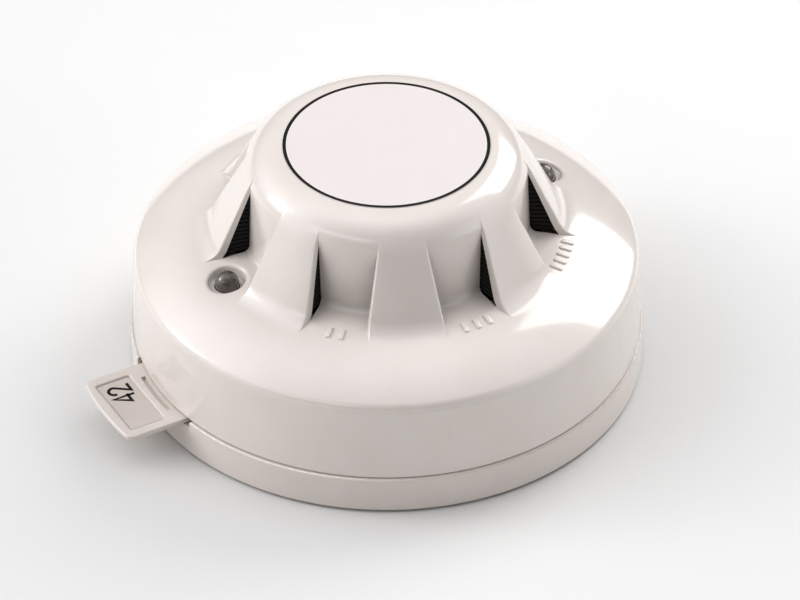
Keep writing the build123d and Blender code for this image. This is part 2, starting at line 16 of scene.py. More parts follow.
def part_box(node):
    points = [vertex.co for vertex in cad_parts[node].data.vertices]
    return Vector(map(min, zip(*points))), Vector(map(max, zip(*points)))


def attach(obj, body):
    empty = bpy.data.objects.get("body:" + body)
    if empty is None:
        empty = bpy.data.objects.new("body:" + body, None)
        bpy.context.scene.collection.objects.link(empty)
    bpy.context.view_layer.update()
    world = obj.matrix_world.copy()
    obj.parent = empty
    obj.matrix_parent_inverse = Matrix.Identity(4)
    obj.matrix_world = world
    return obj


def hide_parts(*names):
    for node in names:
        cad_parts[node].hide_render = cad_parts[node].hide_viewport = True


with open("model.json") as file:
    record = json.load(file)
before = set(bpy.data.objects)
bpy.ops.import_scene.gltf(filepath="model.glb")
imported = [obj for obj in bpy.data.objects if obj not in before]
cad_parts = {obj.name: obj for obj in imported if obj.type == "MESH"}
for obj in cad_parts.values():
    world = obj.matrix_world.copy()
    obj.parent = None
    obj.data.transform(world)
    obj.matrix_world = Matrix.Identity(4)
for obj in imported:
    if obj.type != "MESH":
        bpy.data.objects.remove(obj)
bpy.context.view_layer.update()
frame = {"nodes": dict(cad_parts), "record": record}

# ---- sizes, in millimetres and degrees -----------------------------------------------------------
MM = 0.001
WELD = 0.0005


def box_mm(node):
    """The lowest and highest corner of a CAD node, in millimetres."""
    low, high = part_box(node)
    return low / MM, high / MM


# The skirt is a little narrower at its top, and has a mould line round it just below its rim.
COVER_LOW, COVER_HIGH = box_mm("outer_cover")
SKIRT_RADIUS = COVER_HIGH.x
SKIRT_TOP_RADIUS = SKIRT_RADIUS - 0.4
SKIRT_BORE = SKIRT_RADIUS - 2.0
SKIRT_LOW = COVER_LOW.z
SKIRT_LINE_Z = 23.3
SKIRT_LINE_STEP = 0.06
SKIRT_LINE_HALF = 0.12
SKIRT_FOOT_ROUND = 0.25
RIM_FILLET = 2.2

# The shoulder and the dome are arcs round the points SHOULDER and DOME. Between the hoods, the dome
# runs down to the angle DOME_EDGE, where the crown's wall begins.
FACE_Z = COVER_HIGH.z
WALL = 1.7
SHOULDER_RADIUS = 31.18
SHOULDER_TOP = 31.0
SHOULDER = (30.0, SHOULDER_TOP - SHOULDER_RADIUS)
UNDERSIDE = SHOULDER_TOP - WALL
DOME_FILLET = 7.0
DOME = (20.7, FACE_Z - DOME_FILLET)
DOME_FLAT = np.array((DOME[0], FACE_Z))
DOME_EDGE = 21.5
CROWN_FOOT_RADIUS = 27.9
CROWN_FOOT_FILLET = 1.5
CROWN_BORE = 26.0

# A hood's face is a round brow that leaves the dome at HOOD_BROW_FROM, a straight slope and a
# hollow flare. Its flat sides stand HOOD_FOOT_HALF from its middle at the foot, and lean in by
# HOOD_TAPER for each millimetre of height. HOOD_EDGE rounds the edge between face and side.
HOODS = 8
HOOD_FIRST = 22.5
HALF_PITCH = 180 / HOODS
HOOD_BROW = 16.0
HOOD_BROW_FROM = 40.0
HOOD_SLOPE = 63.5
HOOD_FLARE = 5.5
HOOD_FOOT_HALF = 7.4
HOOD_TAPER = 0.193
HOOD_EDGE = 0.42

# The air inlets are the gaps between a hood's inner face and the crown's wall, on both its sides.
INLET_WALL = 1.35
INLET_SLOPE = 66.0
INLET_HALF_ANGLE = 12.0
INLET_REACH = 33.4

# The two lamps stand in round cups in the shoulder, on +X and -X.
LAMP_RADIUS = 2.35
CUP_RADIUS = 3.85
LAMP_LOW, LAMP_HIGH = box_mm("indicator_lamp_2")
LAMP_AT = (LAMP_LOW.x + LAMP_HIGH.x) / 2
LAMP_CENTRE_Z = LAMP_HIGH.z - LAMP_RADIUS
CUP_FLOOR = LAMP_CENTRE_Z - 0.8

# ---- outlines in the R, Z plane ------------------------------------------------------------------


def on_circle(centre, radius, angle):
    """A point of a circle in the R, Z plane."""
    return np.array(centre) + radius * np.array((cos(radians(angle)), sin(radians(angle))))


def arc(centre, radius, start, end, count):
    """Points along an arc in the R, Z plane."""
    return np.array([on_circle(centre, radius, a) for a in np.linspace(start, end, count)])


def line(start, end, count=2):
    """Points along a straight line."""
    return np.linspace(start, end, count)


def unit(vector):
    """The vector at length 1."""
    vector = np.array(vector, float)
    return vector / np.linalg.norm(vector)


def corner(at, before, after, reach, count=5):
    """A rounded corner between two neighbouring points, which starts and ends a reach from it."""
    at = np.array(at, float)
    start = at + reach * unit(np.array(before) - at)
    end = at + reach * unit(np.array(after) - at)
    steps = np.linspace(0, 1, count)[:, None]
    return (1 - steps) ** 2 * start + 2 * steps * (1 - steps) * at + steps**2 * end


def lengths(points):
    """How far along the line each point lies, from 0 to 1."""
    steps = np.linalg.norm(np.diff(points, axis=0), axis=1)
    return np.concatenate(([0], np.cumsum(steps))) / steps.sum()


def along(points, fractions):
    """Points at the given fractions of a line's length."""
    at = lengths(points)
    return np.stack([np.interp(fractions, at, column) for column in points.T], 1)


def nearest(points, target):
    """The index of the point nearest to the target."""
    return int(np.argmin(np.linalg.norm(points - np.array(target), axis=1)))


def shoulder_z(radius):
    """The height of the shoulder's surface at a radius."""
    across = np.maximum(np.asarray(radius, float) - SHOULDER[0], 0)
    return SHOULDER[1] + np.sqrt(SHOULDER_RADIUS**2 - across**2)


def hood_half(z):
    """Half the width of a hood at a height."""
    return HOOD_FOOT_HALF - HOOD_TAPER * (z - SHOULDER_TOP)


def side_angle(points):
    """The angle from a hood's middle at which points at a radius and height meet its flat side."""
    return np.degrees(np.arcsin(hood_half(points[:, 1]) / points[:, 0]))


class Sections:
    """The hood's outer and inner face and the recess beside it, as outlines in the R, Z plane."""

    def __init__(self):
        brow = on_circle(DOME, DOME_FILLET - HOOD_BROW, HOOD_BROW_FROM)
        brow_end = on_circle(brow, HOOD_BROW, 90 - HOOD_SLOPE)
        down = np.array((cos(radians(HOOD_SLOPE)), -sin(radians(HOOD_SLOPE))))
        out = np.array((-down[1], down[0]))
        offset = brow_end + HOOD_FLARE * out - np.array(SHOULDER)
        apart = SHOULDER_RADIUS + HOOD_FLARE
        run = -offset @ down - sqrt((offset @ down) ** 2 - offset @ offset + apart**2)
        slope_end = brow_end + run * down
        flare = slope_end + HOOD_FLARE * out
        across, rise = flare - np.array(SHOULDER)
        foot_angle = degrees(np.arctan2(rise, across))
        self.foot = on_circle(SHOULDER, SHOULDER_RADIUS, foot_angle)
        self.foot_angle = foot_angle
        face = np.vstack([
            arc(brow, HOOD_BROW, HOOD_BROW_FROM, 90 - HOOD_SLOPE, count=40),
            line(brow_end, slope_end, count=120)[1:],
            arc(flare, HOOD_FLARE, 270 - HOOD_SLOPE, foot_angle + 180, count=60)[1:],
        ])

        wall_top = on_circle(DOME, DOME_FILLET, DOME_EDGE)
        wall_foot = np.array((CROWN_FOOT_RADIUS, SHOULDER_TOP))
        inner_radius = HOOD_FLARE + INLET_WALL
        inner_angle = 270 - INLET_SLOPE
        floor_angle = 180 + degrees(acos((flare[0] - INLET_REACH) / inner_radius))
        inner_top = on_circle(flare, inner_radius, inner_angle)
        climb = np.array((-cos(radians(INLET_SLOPE)), sin(radians(INLET_SLOPE))))
        drafted = wall_top - wall_foot
        crossing = np.linalg.solve(np.stack([climb, -drafted], 1), wall_foot - inner_top)
        apex = inner_top + crossing[0] * climb
        floor = np.array((INLET_REACH, float(shoulder_z(INLET_REACH))))
        inner = np.vstack([
            line(apex, inner_top, count=16),
            arc(flare, inner_radius, inner_angle, floor_angle, count=12)[1:-1],
            [floor],
        ])

        at_apex, at_floor = nearest(face, apex), nearest(face, floor)
        dome_before = on_circle(DOME, DOME_FILLET, DOME_EDGE + 1)
        below_top = along(np.array((wall_top, apex)), [0.3])[0]
        self.recess_top = np.vstack([
            arc(DOME, DOME_FILLET, HOOD_BROW_FROM, DOME_EDGE + 1.6, count=8),
            corner(wall_top, dome_before, wall_foot, reach=0.12),
            line(below_top, apex, count=3),
        ])
        self.face_top = along(face[: at_apex + 1], lengths(self.recess_top))
        self.inner = along(inner, lengths(inner))
        self.face_panel = along(face[at_apex : at_floor + 1], lengths(inner))
        self.wall_rows, self.fillet_rows = 11, 7
        level = (SHOULDER[0] + 2, SHOULDER_TOP)
        fillet = corner(wall_foot, wall_top, level, CROWN_FOOT_FILLET, self.fillet_rows)
        floor_line = np.linspace(fillet[-1][0] + 0.4, INLET_REACH, num=8)
        self.recess_wall = np.vstack([
            line(apex, fillet[0], self.wall_rows + 1)[:-1],
            fillet,
            np.stack([floor_line, shoulder_z(floor_line)], 1),
        ])
        foot_line = np.linspace(INLET_REACH, self.foot[0], num=5)
        self.recess_foot = np.stack([foot_line, shoulder_z(foot_line)], 1)
        self.face_foot = along(face[at_floor:], lengths(self.recess_foot))


SECTIONS = Sections()

# ---- the outer cover -----------------------------------------------------------------------------
HOOD_COLUMNS = 10
RECESS_COLUMNS = 11
EDGE_COLUMNS = 6
SIDE_COLUMNS = 2
CUP_COLUMNS = 72


def ring_points(outline, angles):
    """A grid of points: each outline point at each of its angles round the axis."""
    angles = np.radians(np.broadcast_to(angles, (len(outline), np.shape(angles)[-1])))
    radius, z = outline[:, :1], outline[:, 1:] + 0 * angles
    return np.stack([radius * np.cos(angles), radius * np.sin(angles), z], 2)


def fan(start, end, columns):
    """Angles from start to end in columns steps, one row for each start."""
    start, end = np.atleast_1d(start)[:, None], np.atleast_1d(end)[:, None]
    return start + (end - start) * np.linspace(0, 1, columns + 1)


def side_points(outline):
    """Where points at a radius and height lie on the hood's flat side."""
    half = hood_half(outline[:, 1])
    return np.stack([np.sqrt(outline[:, 0] ** 2 - half**2), half, outline[:, 1]], 1)


def strip(start, end, columns):
    """A grid of straight rows between two lines of points."""
    steps = np.linspace(0, 1, columns + 1)[None, :, None]
    return start[:, None, :] * (1 - steps) + end[:, None, :] * steps


def hood_band(face, back):
    """The hood's face, its rounded edge and its flat side, from the face's outline to the back."""
    thin_share = 0.45
    edge = side_points(face)
    behind = side_points(back)
    depth = np.linalg.norm(edge - behind, axis=1)
    radius = np.minimum(HOOD_EDGE, thin_share * depth)[:, None]
    tangent = np.gradient(face, axis=0)
    tangent /= np.linalg.norm(tangent, axis=1)[:, None]
    theta = np.radians(side_angle(face))
    out, up = -tangent[:, 1], tangent[:, 0]
    face_normal = np.stack([out * np.cos(theta), out * np.sin(theta), up], 1)
    lean = atan(HOOD_TAPER)
    side_normal = np.array((0, cos(lean), sin(lean)))[None, :]
    centre = edge - radius * (face_normal + side_normal) / (1 + face_normal @ side_normal.T)
    rows = []
    for step in np.linspace(0, 1, EDGE_COLUMNS + 1):
        normal = (1 - step) * face_normal + step * side_normal
        normal /= np.linalg.norm(normal, axis=1)[:, None]
        rows.append(centre + radius * normal)
    rounded = np.stack(rows, 1)
    start = rounded[:, 0]
    start_angle = np.degrees(np.arctan2(start[:, 1], start[:, 0]))
    middle = ring_points(face, fan(0 * start_angle, start_angle, HOOD_COLUMNS))
    correction = start - middle[:, -1]
    easing = np.linspace(0, 1, HOOD_COLUMNS + 1)[None, :, None] ** 3
    middle = middle + easing * correction[:, None, :]
    return [middle, rounded, strip(rounded[:, -1], behind, SIDE_COLUMNS)]


def wall_end(outline):
    """The angle from a hood's middle at which the crown's wall ends, for points of its outline."""
    apex, floor = SECTIONS.inner[0], SECTIONS.inner[-1]
    reach = np.clip((outline[:, 0] - CROWN_FOOT_RADIUS) / (INLET_REACH - CROWN_FOOT_RADIUS), 0, 1)
    climb = np.clip((outline[:, 1] - SHOULDER_TOP) / (apex[1] - SHOULDER_TOP), 0, 1)
    by_reach = (side_angle(floor[None, :])[0] - INLET_HALF_ANGLE) * reach
    by_climb = (side_angle(apex[None, :])[0] - INLET_HALF_ANGLE) * climb
    return np.minimum(side_angle(outline), INLET_HALF_ANGLE + by_reach + by_climb)


def cover_patches():
    """The grids that cover half of the hood on +X, and half of the recess beside it."""
    s = SECTIONS
    top_angle = side_angle(s.recess_top[:1])[0]
    foot_angle = side_angle(s.recess_foot[-1:])[0]
    apex_angle = side_angle(s.inner[:1])[0]
    floor_angle = side_angle(s.inner[-1:])[0]
    patches = []

    def add_turned(outline, split):
        """Adds the part of a turned surface on each side of an angle."""
        patches.append(ring_points(outline, fan(0, split, HOOD_COLUMNS)))
        patches.append(ring_points(outline, fan(split, HALF_PITCH, RECESS_COLUMNS)))

    face = np.vstack([
        line((0, FACE_Z), DOME_FLAT, count=6),
        arc(DOME, DOME_FILLET, 90, HOOD_BROW_FROM, count=14)[1:],
    ])
    add_turned(face, top_angle)
    front = np.vstack([s.face_top, s.face_panel[1:], s.face_foot[1:]])
    back = np.vstack([s.recess_top, s.inner[1:], s.recess_foot[1:]])
    patches.extend(hood_band(front, back))
    for outline in (s.recess_top, s.recess_foot):
        patches.append(ring_points(outline, fan(side_angle(outline), HALF_PITCH, RECESS_COLUMNS)))
    patches.append(ring_points(s.inner, fan(0 * s.inner[:, 0], side_angle(s.inner), HOOD_COLUMNS)))

    opening = wall_end(s.recess_wall)
    patches.append(ring_points(s.recess_wall, fan(opening, HALF_PITCH, RECESS_COLUMNS)))
    step = 0.6
    inside = s.recess_wall.copy()
    turn = s.wall_rows + s.fillet_rows // 2
    inside[:turn, 0] = CROWN_BORE
    inside[:turn, 1] = np.linspace(s.inner[0][1] - step, UNDERSIDE + step, turn)
    inside[turn] = (CROWN_BORE, UNDERSIDE)
    inside[turn + 1 :, 0] = np.linspace(CROWN_BORE + step, INLET_REACH, len(inside) - turn - 1)
    inside[turn + 1 :, 1] = UNDERSIDE
    outer_edge = ring_points(s.recess_wall, opening[:, None])[:, 0]
    inner_edge = ring_points(inside, opening[:, None])[:, 0]
    patches.append(strip(outer_edge, inner_edge, SIDE_COLUMNS))
    patches.append(ring_points(inside, fan(opening, HALF_PITCH, RECESS_COLUMNS)))
    lid = line(s.inner[0], inside[0], count=3)
    patches.append(ring_points(lid, fan(0, apex_angle, HOOD_COLUMNS)))
    sill = line(s.inner[-1], inside[-1], count=3)
    patches.append(ring_points(sill, fan(0, floor_angle, HOOD_COLUMNS)))

    outside = shoulder_and_skirt(s)
    add_turned(outside, np.linspace(foot_angle, floor_angle, len(outside)))
    add_turned(cover_inside(), floor_angle)
    add_turned(dome_inside(inside[0]), apex_angle)
    return patches


def rim_centre():
    """The centre of the fillet between shoulder and skirt, and the angle at which it starts."""
    across = SKIRT_TOP_RADIUS - RIM_FILLET - SHOULDER[0]
    rise = sqrt((SHOULDER_RADIUS - RIM_FILLET) ** 2 - across**2)
    return (SHOULDER[0] + across, SHOULDER[1] + rise), degrees(np.arctan2(rise, across))


def shoulder_and_skirt(s):
    """The cover's outside, from the hoods' feet down to the skirt's rounded lower edge."""
    centre, meet = rim_centre()
    rim_end = centre + np.array((RIM_FILLET, 0))
    above_line = (SKIRT_TOP_RADIUS, SKIRT_LINE_Z + SKIRT_LINE_HALF)
    mould_line = np.array((SKIRT_TOP_RADIUS + SKIRT_LINE_STEP, SKIRT_LINE_Z))
    low = np.array((SKIRT_RADIUS, SKIRT_LOW))
    start, end = along(np.array((mould_line, low)), [0.03, 0.97])
    return np.vstack([
        arc(SHOULDER, SHOULDER_RADIUS, s.foot_angle, meet, count=22),
        arc(centre, RIM_FILLET, meet, 0, count=12)[1:],
        corner(above_line, rim_end, mould_line, reach=0.05, count=3),
        corner(mould_line, above_line, low, reach=0.05, count=4),
        line(start, end, count=6),
        corner(low, mould_line, (SKIRT_BORE, SKIRT_LOW), SKIRT_FOOT_ROUND),
    ])


def cover_inside():
    """The cover's inside, from the skirt's lower edge up and in to the inlets' sills."""
    inside = SHOULDER_RADIUS - WALL
    meet = degrees(acos((SKIRT_BORE - SHOULDER[0]) / inside))
    edge, low, up = (SKIRT_BORE, SKIRT_LOW), (SKIRT_RADIUS, SKIRT_LOW), (SKIRT_BORE, SKIRT_LOW + 5)
    return np.vstack([
        [(SKIRT_RADIUS - SKIRT_FOOT_ROUND, SKIRT_LOW)],
        corner(edge, low, up, reach=0.2, count=3),
        arc(SHOULDER, inside, meet, 90, count=16),
        [(INLET_REACH, UNDERSIDE)],
    ])


def dome_inside(start):
    """The inside of the crown, from the inlets' lids up to the axis."""
    ceiling = DOME[1] + CROWN_BORE - DOME[0]
    return np.vstack([
        [start],
        arc(DOME, CROWN_BORE - DOME[0], 0, 90, count=10),
        line((DOME[0], ceiling), (0, ceiling), count=4)[1:],
    ])


def add_grids(bm, grids):
    """Adds grids of points, in millimetres, to a mesh as quads."""
    for grid in grids:
        rows, columns = grid.shape[:2]
        verts = [[bm.verts.new(point * MM) for point in row] for row in grid]
        for i in range(rows - 1):
            for j in range(columns - 1):
                bm.faces.new((verts[i][j], verts[i][j + 1], verts[i + 1][j + 1], verts[i + 1][j]))


def rotated(grid, angle):
    """The grid turned about the Z axis."""
    c, s = cos(radians(angle)), sin(radians(angle))
    return grid @ np.array(((c, s, 0), (-s, c, 0), (0, 0, 1)))


def close_up(bm, gap=0.0008):
    """Joins points that coincide, drops the faces that this flattens, and turns faces outwards."""
    bmesh.ops.remove_doubles(bm, verts=bm.verts, dist=gap * MM)
    bmesh.ops.dissolve_degenerate(bm, edges=bm.edges, dist=0.2 * gap * MM)
    bmesh.ops.recalc_face_normals(bm, faces=bm.faces)


def weld(bm):
    """Joins points that coincide and turns faces outwards."""
    bmesh.ops.remove_doubles(bm, verts=bm.verts, dist=WELD * MM)
    bmesh.ops.recalc_face_normals(bm, faces=bm.faces)


def piece_from(bm, name, body, material, replaces=(), sharp=35):
    """Makes a mesh into a piece that rides on a CAD body, smooth but for its sharper edges."""
    mesh = bpy.data.meshes.new(name)
    bm.to_mesh(mesh)
    bm.free()
    mesh.shade_smooth()
    mesh.set_sharp_from_angle(angle=radians(sharp))
    piece = bpy.data.objects.new(name, mesh)
    bpy.context.scene.collection.objects.link(piece)
    for each in [material] if isinstance(material, bpy.types.Material) else material:
        mesh.materials.append(each)
    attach(piece, body)
    if replaces:
        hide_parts(*replaces)
    return piece


def ordered_loop(edges):
    """The vertices of a closed loop of edges, in order."""
    edges = set(edges)
    first = next(iter(edges))
    loop = [first.verts[0], first.verts[1]]
    edges.remove(first)
    while edges:
        following = next(e for e in loop[-1].link_edges if e in edges)
        edges.remove(following)
        loop.append(following.other_vert(loop[-1]))
    return loop[:-1] if loop[0] == loop[-1] else loop


def shoulder_skin_z(radius, thickness):
    """The height, at a radius, of a skin that lies a thickness inside the shoulder's surface."""
    across = max(radius - SHOULDER[0], 0)
    return SHOULDER[1] + sqrt((SHOULDER_RADIUS - thickness) ** 2 - across**2)


def lamp_opening(bm, side):
    """Cuts a lamp's round cup and boss through the shoulder's two skins, on +X or -X."""
    centre = np.array((side * LAMP_AT, 0.0))
    hole = CUP_RADIUS + 1.1
    skin_reach = 0.35

    loops = []
    for thickness in (0, WALL):
        doomed = []
        for face in bm.faces:
            at = face.calc_center_median() / MM
            radius = hypot(at.x, at.y)
            near = abs(radius - LAMP_AT) < hole and abs(at.y) < hole and side * at.x > 0
            if near and abs(at.z - shoulder_skin_z(radius, thickness)) < skin_reach:
                doomed.append(face)
        marked = set(doomed)
        rim = [e for f in doomed for e in f.edges if sum(x in marked for x in e.link_faces) == 1]
        loop = ordered_loop(rim)
        bmesh.ops.delete(bm, geom=doomed, context="FACES")
        loops.append(loop)

    def bearing(vert):
        return np.arctan2(vert.co.y / MM - centre[1], vert.co.x / MM - centre[0])

    # The radius and height of each ring. A height at or below zero counts from the shoulder's
    # surface. None puts a ring on that surface, and the last ring on the inner skin.
    cup = [
        (CUP_RADIUS + 0.75, None), (CUP_RADIUS + 0.35, -0.03), (CUP_RADIUS + 0.1, -0.12),
        (CUP_RADIUS - 0.08, -0.28), (CUP_RADIUS - 0.2, -0.5), (CUP_RADIUS - 0.3, -0.75),
        (CUP_RADIUS - 0.6, CUP_FLOOR + 0.12), (CUP_RADIUS - 0.85, CUP_FLOOR),
        (LAMP_RADIUS + 0.15, CUP_FLOOR), (LAMP_RADIUS + 0.15, CUP_FLOOR - 1.8),
        (CUP_RADIUS + 0.8, CUP_FLOOR - 1.8), (CUP_RADIUS + 0.8, None),
    ]
    bearings = np.linspace(-np.pi, np.pi, CUP_COLUMNS, endpoint=False)
    rings = []
    for k, (radius, z) in enumerate(cup):
        ring = []
        for angle in bearings:
            x, y = centre[0] + radius * cos(angle), centre[1] + radius * sin(angle)
            surface = shoulder_skin_z(hypot(x, y), WALL if k == len(cup) - 1 else 0)
            height = surface if z is None else surface + z if z <= 0 else z
            ring.append(bm.verts.new(Vector((x, y, height)) * MM))
        rings.append(ring)
    for inner, outer in zip(rings, rings[1:]):
        for j in range(CUP_COLUMNS):
            following = (j + 1) % CUP_COLUMNS
            bm.faces.new((inner[j], inner[following], outer[following], outer[j]))
    for loop, ring in ((loops[0], rings[0]), (loops[1], rings[-1])):
        sew(bm, loop, ring, bearing)


def sew(bm, loop, ring, bearing):
    """Fills the band between two closed loops of points around one centre with triangles."""
    def in_order(verts):
        angles = np.unwrap([bearing(v) for v in verts + verts[:1]])
        if angles[-1] < angles[0]:
            verts = verts[::-1]
        first = int(np.argmin([bearing(v) for v in verts]))
        verts = verts[first:] + verts[: first + 1]
        return verts, np.unwrap([bearing(v) for v in verts])

    outer, outer_at = in_order(loop)
    inner, inner_at = in_order(ring)
    i = j = 0
    while i < len(outer) - 1 or j < len(inner) - 1:
        outer_left, inner_left = i < len(outer) - 1, j < len(inner) - 1
        step_outer = not inner_left or (outer_left and outer_at[i + 1] <= inner_at[j + 1])
        third = outer[i + 1] if step_outer else inner[j + 1]
        bm.faces.new((outer[i], inner[j], third))
        i, j = (i + 1, j) if step_outer else (i, j + 1)


def outer_cover(material):
    """The white cover as one closed mesh: skirt, shoulder, crown and hoods with their inlets."""
    bm = bmesh.new()
    half = cover_patches()
    mirror = np.array((1, -1, 1))
    for k in range(HOODS):
        for side in (half, [grid * mirror for grid in half]):
            add_grids(bm, [rotated(grid, HOOD_FIRST + k * 2 * HALF_PITCH) for grid in side])
    close_up(bm)
    for side in (1, -1):
        lamp_opening(bm, side)
    bmesh.ops.recalc_face_normals(bm, faces=bm.faces)
    return piece_from(bm, "cover_shell", "head", material, ["outer_cover"])


# ---- turned and moulded pieces -------------------------------------------------------------------
BAR_SUNK = 0.15


def turned(outline, x=0.0, y=0.0, columns=96):
    """A mesh turned about an upright axis, from an outline in the R, Z plane."""
    bm = bmesh.new()
    grid = ring_points(np.array(outline, float), np.linspace(0, 360, columns + 1)[None, :])
    add_grids(bm, [grid + np.array((x, y, 0))])
    close_up(bm)
    return bm


def label_disc(film, ink):
    """The flat film on the face, with its thin printed ring."""
    low, high = box_mm("label_disc")
    radius, top = high.x, high.z
    ring_middle, ring_half = radius - 0.34, 0.325
    ring_outer, ring_inner = ring_middle + ring_half, ring_middle - ring_half
    outline = np.vstack([
        line((0, low.z), (radius, low.z), count=4),
        corner((radius, top), (radius, low.z), (0, top), reach=0.06, count=4),
        [(ring_outer, top), (ring_inner, top)],
        line((ring_inner - 0.5, top), (0, top), count=8),
    ])
    bm = turned(outline, columns=192)
    for face in bm.faces:
        at = face.calc_center_median() / MM
        on_ring = abs(hypot(at.x, at.y) - ring_middle) < ring_half
        faces_up = face.normal.z > 0.9
        face.material_index = 1 if on_ring and faces_up else 0
    return piece_from(bm, "face_label", "head", [film, ink], ["label_disc"])


def lamp(number, side, lens):
    """One smoky domed lamp, with the flange at its foot."""
    centre = (0, LAMP_CENTRE_Z)
    foot, flange = LAMP_LOW.z, LAMP_HIGH.x - LAMP_AT
    thick, chamfer = 0.9, 0.1
    outline = np.vstack([
        [(0, foot), (flange - chamfer, foot), (flange, foot + chamfer), (flange, foot + 0.8)],
        [(flange - chamfer, foot + thick), (LAMP_RADIUS + 0.02, foot + thick)],
        [(LAMP_RADIUS, foot + 1.1)],
        line((LAMP_RADIUS, foot + 1.6), (LAMP_RADIUS, LAMP_CENTRE_Z - 0.2), count=3),
        arc(centre, LAMP_RADIUS, 0, 90, count=24),
    ])
    bm = turned(outline, x=side * LAMP_AT, columns=64)
    name, node = f"lamp_lens_{number}", f"indicator_lamp_{number}"
    return piece_from(bm, name, "head", lens, [node])


def pillow(rows=15, columns=9):
    """Places from -1 to 1 along and across a pillow, and its top's swelling there, from 0 to 1."""
    u = np.linspace(-1, 1, rows)[:, None] + np.zeros((1, columns))
    v = np.linspace(-1, 1, columns)[None, :] + np.zeros((rows, 1))
    swell = (1 - np.abs(u) ** 8) * (1 - np.abs(v) ** 4)
    return u, v, swell**0.35


def bar_grid(length, half_width, height, middle):
    """A pillow-topped bar along +X that stands on the shoulder, closed round its sides."""
    u, v, swell = pillow()
    x = middle + u * length / 2
    taper = (1 - np.abs(u) ** 6) ** 0.5
    y = v * half_width * np.maximum(taper, 0.2)
    z = shoulder_z(np.hypot(x, y)) - BAR_SUNK + (height + BAR_SUNK) * swell
    return np.stack([x, y, z], 2)


def raised_bars(material):
    """Plain raised bars on the shoulder in three of the recesses."""
    bm = bmesh.new()
    length, half_width, height, pitch, middle = 2.8, 0.6, 0.36, 4.1, 35.4
    for recess, bars, spread in ((225, 2, 1.0), (270, 3, 1.0), (315, 5, 0.8)):
        for k in range(bars):
            angle = recess + (k - (bars - 1) / 2) * pitch * spread
            top = bar_grid(length, half_width, height, middle)
            floor = top.copy()
            floor_z = shoulder_z(np.hypot(top[..., 0], top[..., 1])) - BAR_SUNK
            floor[1:-1, 1:-1, 2] = floor_z[1:-1, 1:-1]
            add_grids(bm, [rotated(top, angle), rotated(floor, angle)])
    weld(bm)
    return piece_from(bm, "raised_bars", "head", material)


def skirt_rib(material):
    """The low upright rib on the skirt, closed behind just under the skirt's face."""
    half_width, height, sunk, low, high, bearing = 0.4, 0.13, 0.1, 15.0, 22.4, -105
    u, v, swell = pillow()
    z = (low + high) / 2 + u * (high - low) / 2
    draft = (SKIRT_RADIUS - SKIRT_TOP_RADIUS) / (SKIRT_LINE_Z - SKIRT_LOW)
    back = SKIRT_RADIUS - draft * (z - SKIRT_LOW) - sunk
    y = v * half_width
    front = np.stack([back + (height + sunk) * swell, y, z], 2)
    bm = bmesh.new()
    add_grids(bm, [rotated(front, bearing), rotated(np.stack([back, y, z], 2), bearing)])
    weld(bm)
    return piece_from(bm, "skirt_rib", "head", material)


def add_blade(bm, levels):
    """A closed blade between two levels of four corners, given as near and far pairs."""
    low, high = [[bm.verts.new(row[k] * MM) for k in (0, 1, 3, 2)] for row in levels]
    bm.faces.new(low)
    bm.faces.new(high)
    for k in range(4):
        following = (k + 1) % 4
        bm.faces.new((low[k], low[following], high[following], high[k]))


def inlet_shade_blades(material):
    """Black blades in each inlet, painted shade for the dark inside: short level blades that hide
    the inside but let air by.
    """
    bm = bmesh.new()
    pitch, thickness, depth, setback, gap = 0.9, 0.66, 2.2, 0.7, 0.12
    inner = SECTIONS.inner[::-1]
    wall = SECTIONS.recess_wall[::-1]
    lowest, highest = SHOULDER_TOP + 0.35, SECTIONS.inner[0][1] - 0.4
    for z in np.arange(lowest, highest, pitch):
        wall_radius = float(np.interp(z, wall[:, 1], wall[:, 0])) - gap
        reach = max(float(np.interp(z, inner[:, 1], inner[:, 0])) - gap, wall_radius + 0.2)
        by_wall = wall_radius * sin(radians(wall_end(np.array([[wall_radius, z]]))[0])) - gap
        by_hood = max(hood_half(z) - setback, by_wall)
        corners = []
        for back in (0, depth):
            for radius, y in ((wall_radius, by_wall - back), (reach, by_hood - back)):
                corners.append((sqrt(radius**2 - y**2), y))
        for k in range(HOODS):
            for side in (1, -1):
                blade = [[(x, side * y, level) for x, y in corners] for level in (z, z + thickness)]
                turn = HOOD_FIRST + k * 2 * HALF_PITCH
                add_blade(bm, [rotated(np.array(row), turn) for row in blade])
    bmesh.ops.recalc_face_normals(bm, faces=bm.faces)
    return piece_from(bm, "inlet_shade_blades", "head", material, sharp=30)


# ---- the address card ----------------------------------------------------------------------------
TAG_LOW, TAG_HIGH = box_mm("number_label")
STROKE = 0.6
INK_THICKNESS = 0.02


def flat_stroke(bm, points, width, z, thickness):
    """A flat painted stroke of even width along a line of points, with mitred bends."""
    points = np.array(points, float)
    longest_mitre = 0.5
    directions = np.diff(points, axis=0)
    directions /= np.linalg.norm(directions, axis=1)[:, None]
    normals = np.stack([-directions[:, 1], directions[:, 0]], 1)
    joints = np.vstack([normals[:1], normals[:-1] + normals[1:], normals[-1:]])
    joints /= np.linalg.norm(joints, axis=1)[:, None]
    shared = np.vstack([normals[:1], normals])
    slant = np.maximum(np.sum(joints * shared, axis=1), longest_mitre)[:, None]
    reach = width / 2 / slant * joints
    sides = []
    for level in (z, z + thickness):
        for sign in (-1, 1):
            flat = points + sign * reach
            sides.append([bm.verts.new(Vector((x, y, level)) * MM) for x, y in flat])
    low_right, low_left, high_right, high_left = sides
    loop = (low_right, high_right, high_left, low_left)
    for one, other in zip(loop, loop[1:] + loop[:1]):
        for k in range(len(points) - 1):
            bm.faces.new((one[k], one[k + 1], other[k + 1], other[k]))
    for k in (0, len(points) - 1):
        bm.faces.new([side[k] for side in loop])


